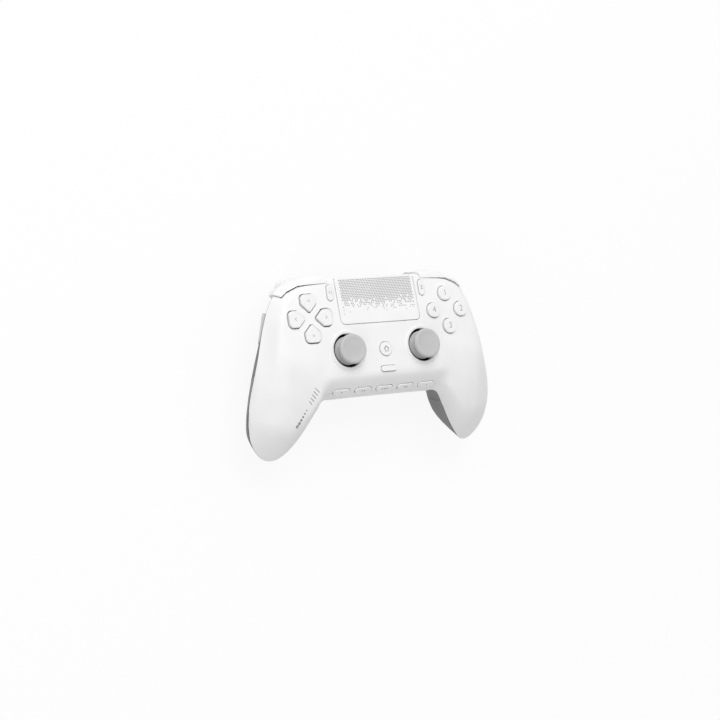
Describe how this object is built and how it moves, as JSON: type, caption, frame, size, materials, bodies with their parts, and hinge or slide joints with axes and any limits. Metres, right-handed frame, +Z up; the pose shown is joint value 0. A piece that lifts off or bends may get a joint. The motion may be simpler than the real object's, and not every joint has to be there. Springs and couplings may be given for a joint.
{
  "type": "gamepad controller",
  "caption": "Wireless gamepad controller with tilting sticks, direction pad, face buttons, clicking touch surface, bumpers, triggers, side keys and rear paddles.",
  "frame": {"origin": "middle of the footprint, on the surface that the grips and the back rest on", "axes": "+X to the right as the player holds it, +Y away from the player towards the triggers, +Z up, off the face"},
  "size_m": [0.162, 0.1014, 0.0508],
  "materials": {
    "case_white": "fine satin",
    "rear_grey": "satin",
    "panel_grey": "fine dotted texture",
    "key_white": "satin",
    "cap_grey": "matt",
    "shoulder_white": "satin",
    "side_light_grey": "satin",
    "inner_black": "moulded",
    "metal": "plain",
    "screw_steel": "black",
    "board_green": "lacquer",
    "membrane": "silicone",
    "battery_wrap": "film"
  },
  "bodies": {
    "case": {"front_shell": "case_white", "rear_shell": "rear_grey", "left_grip_panel": "panel_grey", "right_grip_panel": "panel_grey", "case_screws": "screw_steel", "left_stick_module": "inner_black", "right_stick_module": "inner_black", "control_frame": "inner_black", "dpad_membrane": "membrane", "action_membrane": "membrane", "main_board": "board_green", "key_board": "board_green", "usb_socket": "metal", "audio_jack": "inner_black", "battery": "battery_wrap", "battery_tray": "inner_black", "left_rumble_motor": "metal", "right_rumble_motor": "metal", "left_trigger_pin": "metal", "right_trigger_pin": "metal", "left_trigger_spring": "metal", "right_trigger_spring": "metal"},
    "touch_surface": {"touchpad": "key_white", "touchpad_board": "board_green"},
    "left_stick_fork": {"left_stick_yoke": "inner_black"},
    "left_stick_core": {"left_stick_hub": "inner_black"},
    "left_stick": {"left_stick_stem": "inner_black", "left_stick_cap": "cap_grey"},
    "right_stick_fork": {"right_stick_yoke": "inner_black"},
    "right_stick_core": {"right_stick_hub": "inner_black"},
    "right_stick": {"right_stick_stem": "inner_black", "right_stick_cap": "cap_grey"},
    "dpad_cross": {"dpad_pivot": "metal"},
    "direction_pad": {"dpad": "key_white"},
    "north_button": {"face_button_north": "key_white"},
    "east_button": {"face_button_east": "key_white"},
    "south_button": {"face_button_south": "key_white"},
    "west_button": {"face_button_west": "key_white"},
    "left_menu_key": {"left_menu_button": "key_white"},
    "right_menu_key": {"right_menu_button": "key_white"},
    "home_key": {"home_button": "key_white"},
    "mute_key": {"mute_button": "key_white"},
    "bottom_key_1_body": {"bottom_key_1": "key_white"},
    "bottom_key_2_body": {"bottom_key_2": "key_white"},
    "bottom_key_3_body": {"bottom_key_3": "key_white"},
    "bottom_key_4_body": {"bottom_key_4": "key_white"},
    "bottom_key_5_body": {"bottom_key_5": "key_white"},
    "left_bumper_body": {"left_bumper": "shoulder_white"},
    "left_trigger_body": {"left_trigger": "shoulder_white"},
    "left_weight_body": {"left_rumble_weight": "metal"},
    "left_side_key": {"left_side_button": "side_light_grey"},
    "left_upper_paddle_body": {"left_upper_paddle": "rear_grey"},
    "left_lower_paddle_body": {"left_lower_paddle": "rear_grey"},
    "right_bumper_body": {"right_bumper": "shoulder_white"},
    "right_trigger_body": {"right_trigger": "shoulder_white"},
    "right_weight_body": {"right_rumble_weight": "metal"},
    "right_side_key": {"right_side_button": "side_light_grey"},
    "right_upper_paddle_body": {"right_upper_paddle": "rear_grey"},
    "right_lower_paddle_body": {"right_lower_paddle": "rear_grey"}
  },
  "joints": [
    {"name": "touchpad_press", "type": "hinge", "parent": "case", "child": "touch_surface", "pos_m": [0, 0.0479, 0.03468], "axis": [1, 0, 0], "range_deg": [0, 1], "stiffness_Nm_per_rad": 1, "springref_deg": -0.29},
    {"name": "left_stick_fore_aft", "type": "hinge", "parent": "case", "child": "left_stick_fork", "pos_m": [-0.025, 0.00649, 0.03512], "axis": [1, 0, 0], "range_deg": [-12, 12], "stiffness_Nm_per_rad": 0.03},
    {"name": "left_stick_side_tilt", "type": "hinge", "parent": "left_stick_fork", "child": "left_stick_core", "pos_m": [-0.025, 0.00649, 0.03512], "axis": [0, 0.9867, -0.1627], "range_deg": [-12, 12], "stiffness_Nm_per_rad": 0.03},
    {"name": "left_stick_click", "type": "slide", "parent": "left_stick_core", "child": "left_stick", "axis": [0, -0.1627, -0.9867], "range_m": [0, 0.0005], "stiffness_N_per_m": 600, "springref_m": -0.0003},
    {"name": "right_stick_fore_aft", "type": "hinge", "parent": "case", "child": "right_stick_fork", "pos_m": [0.025, 0.00649, 0.03512], "axis": [1, 0, 0], "range_deg": [-12, 12], "stiffness_Nm_per_rad": 0.03},
    {"name": "right_stick_side_tilt", "type": "hinge", "parent": "right_stick_fork", "child": "right_stick_core", "pos_m": [0.025, 0.00649, 0.03512], "axis": [0, 0.9867, -0.1627], "range_deg": [-12, 12], "stiffness_Nm_per_rad": 0.03},
    {"name": "right_stick_click", "type": "slide", "parent": "right_stick_core", "child": "right_stick", "axis": [0, -0.1627, -0.9867], "range_m": [0, 0.0005], "stiffness_N_per_m": 600, "springref_m": -0.0003},
    {"name": "dpad_up_down", "type": "hinge", "parent": "case", "child": "dpad_cross", "pos_m": [-0.0461, 0.02581, 0.03306], "axis": [1, 0, 0], "range_deg": [-3, 3], "stiffness_Nm_per_rad": 0.2},
    {"name": "dpad_left_right", "type": "hinge", "parent": "dpad_cross", "child": "direction_pad", "pos_m": [-0.0461, 0.02581, 0.03306], "axis": [0, 0.9867, -0.1627], "range_deg": [-3, 3], "stiffness_Nm_per_rad": 0.2},
    {"name": "north_button_press", "type": "slide", "parent": "case", "child": "north_button", "axis": [0, -0.1627, -0.9867], "range_m": [0, 0.0012], "stiffness_N_per_m": 400, "springref_m": -0.0003},
    {"name": "east_button_press", "type": "slide", "parent": "case", "child": "east_button", "axis": [0, -0.1627, -0.9867], "range_m": [0, 0.0012], "stiffness_N_per_m": 400, "springref_m": -0.0003},
    {"name": "south_button_press", "type": "slide", "parent": "case", "child": "south_button", "axis": [0, -0.1627, -0.9867], "range_m": [0, 0.0012], "stiffness_N_per_m": 400, "springref_m": -0.0003},
    {"name": "west_button_press", "type": "slide", "parent": "case", "child": "west_button", "axis": [0, -0.1627, -0.9867], "range_m": [0, 0.0012], "stiffness_N_per_m": 400, "springref_m": -0.0003},
    {"name": "left_menu_press", "type": "slide", "parent": "case", "child": "left_menu_key", "axis": [0, -0.1627, -0.9867], "range_m": [0, 0.0006], "stiffness_N_per_m": 600, "springref_m": -0.0003},
    {"name": "right_menu_press", "type": "slide", "parent": "case", "child": "right_menu_key", "axis": [0, -0.1627, -0.9867], "range_m": [0, 0.0006], "stiffness_N_per_m": 600, "springref_m": -0.0003},
    {"name": "home_press", "type": "slide", "parent": "case", "child": "home_key", "axis": [0, -0.1627, -0.9867], "range_m": [0, 0.0006], "stiffness_N_per_m": 600, "springref_m": -0.0003},
    {"name": "mute_press", "type": "slide", "parent": "case", "child": "mute_key", "axis": [0, -0.1627, -0.9867], "range_m": [0, 0.0006], "stiffness_N_per_m": 600, "springref_m": -0.0003},
    {"name": "bottom_key_1_press", "type": "slide", "parent": "case", "child": "bottom_key_1_body", "axis": [0, 0.6774, -0.7357], "range_m": [0, 0.0006], "stiffness_N_per_m": 600, "springref_m": -0.0003},
    {"name": "bottom_key_2_press", "type": "slide", "parent": "case", "child": "bottom_key_2_body", "axis": [0, 0.6774, -0.7357], "range_m": [0, 0.0006], "stiffness_N_per_m": 600, "springref_m": -0.0003},
    {"name": "bottom_key_3_press", "type": "slide", "parent": "case", "child": "bottom_key_3_body", "axis": [0, 0.6774, -0.7357], "range_m": [0, 0.0006], "stiffness_N_per_m": 600, "springref_m": -0.0003},
    {"name": "bottom_key_4_press", "type": "slide", "parent": "case", "child": "bottom_key_4_body", "axis": [0, 0.6774, -0.7357], "range_m": [0, 0.0006], "stiffness_N_per_m": 600, "springref_m": -0.0003},
    {"name": "bottom_key_5_press", "type": "slide", "parent": "case", "child": "bottom_key_5_body", "axis": [0, 0.6774, -0.7357], "range_m": [0, 0.0006], "stiffness_N_per_m": 600, "springref_m": -0.0003},
    {"name": "left_bumper_press", "type": "hinge", "parent": "case", "child": "left_bumper_body", "pos_m": [-0.0331, 0.04644, 0.02803], "axis": [0, 0.1627, 0.9867], "range_deg": [0, 1.5], "stiffness_Nm_per_rad": 1, "springref_deg": -0.29},
    {"name": "left_trigger_pull", "type": "hinge", "parent": "case", "child": "left_trigger_body", "pos_m": [-0.0345, 0.03952, 0.02157], "axis": [-1, 0, 0], "range_deg": [0, 15], "stiffness_Nm_per_rad": 0.1, "springref_deg": -2.86},
    {"name": "left_rumble_spin", "type": "hinge", "parent": "case", "child": "left_weight_body", "pos_m": [-0.0627, -0.01708, 0.01945], "axis": [1, 0, 0], "continuous": true},
    {"name": "left_side_press", "type": "slide", "parent": "case", "child": "left_side_key", "axis": [0.8626, -0.2133, 0.4587], "range_m": [0, 0.0006], "stiffness_N_per_m": 600, "springref_m": -0.0003},
    {"name": "left_upper_paddle_press", "type": "hinge", "parent": "case", "child": "left_upper_paddle_body", "pos_m": [-0.008, 0.00085, 0.00525], "axis": [0, 0.8389, -0.5442], "range_deg": [0, 2.2], "stiffness_Nm_per_rad": 1, "springref_deg": -0.29},
    {"name": "left_lower_paddle_press", "type": "hinge", "parent": "case", "child": "left_lower_paddle_body", "pos_m": [-0.008, -0.01101, 0.01806], "axis": [0, 0.5731, -0.8195], "range_deg": [0, 2.2], "stiffness_Nm_per_rad": 1, "springref_deg": -0.29},
    {"name": "right_bumper_press", "type": "hinge", "parent": "case", "child": "right_bumper_body", "pos_m": [0.0331, 0.04644, 0.02803], "axis": [0, -0.1627, -0.9867], "range_deg": [0, 1.5], "stiffness_Nm_per_rad": 1, "springref_deg": -0.29},
    {"name": "right_trigger_pull", "type": "hinge", "parent": "case", "child": "right_trigger_body", "pos_m": [0.0345, 0.03952, 0.02157], "axis": [-1, 0, 0], "range_deg": [0, 15], "stiffness_Nm_per_rad": 0.1, "springref_deg": -2.86},
    {"name": "right_rumble_spin", "type": "hinge", "parent": "case", "child": "right_weight_body", "pos_m": [0.0627, -0.01708, 0.01945], "axis": [1, 0, 0], "continuous": true},
    {"name": "right_side_press", "type": "slide", "parent": "case", "child": "right_side_key", "axis": [-0.8626, -0.2133, 0.4587], "range_m": [0, 0.0006], "stiffness_N_per_m": 600, "springref_m": -0.0003},
    {"name": "right_upper_paddle_press", "type": "hinge", "parent": "case", "child": "right_upper_paddle_body", "pos_m": [0.008, 0.00085, 0.00525], "axis": [0, -0.8389, 0.5442], "range_deg": [0, 2.2], "stiffness_Nm_per_rad": 1, "springref_deg": -0.29},
    {"name": "right_lower_paddle_press", "type": "hinge", "parent": "case", "child": "right_lower_paddle_body", "pos_m": [0.008, -0.01101, 0.01806], "axis": [0, -0.5731, 0.8195], "range_deg": [0, 2.2], "stiffness_Nm_per_rad": 1, "springref_deg": -0.29}
  ]
}
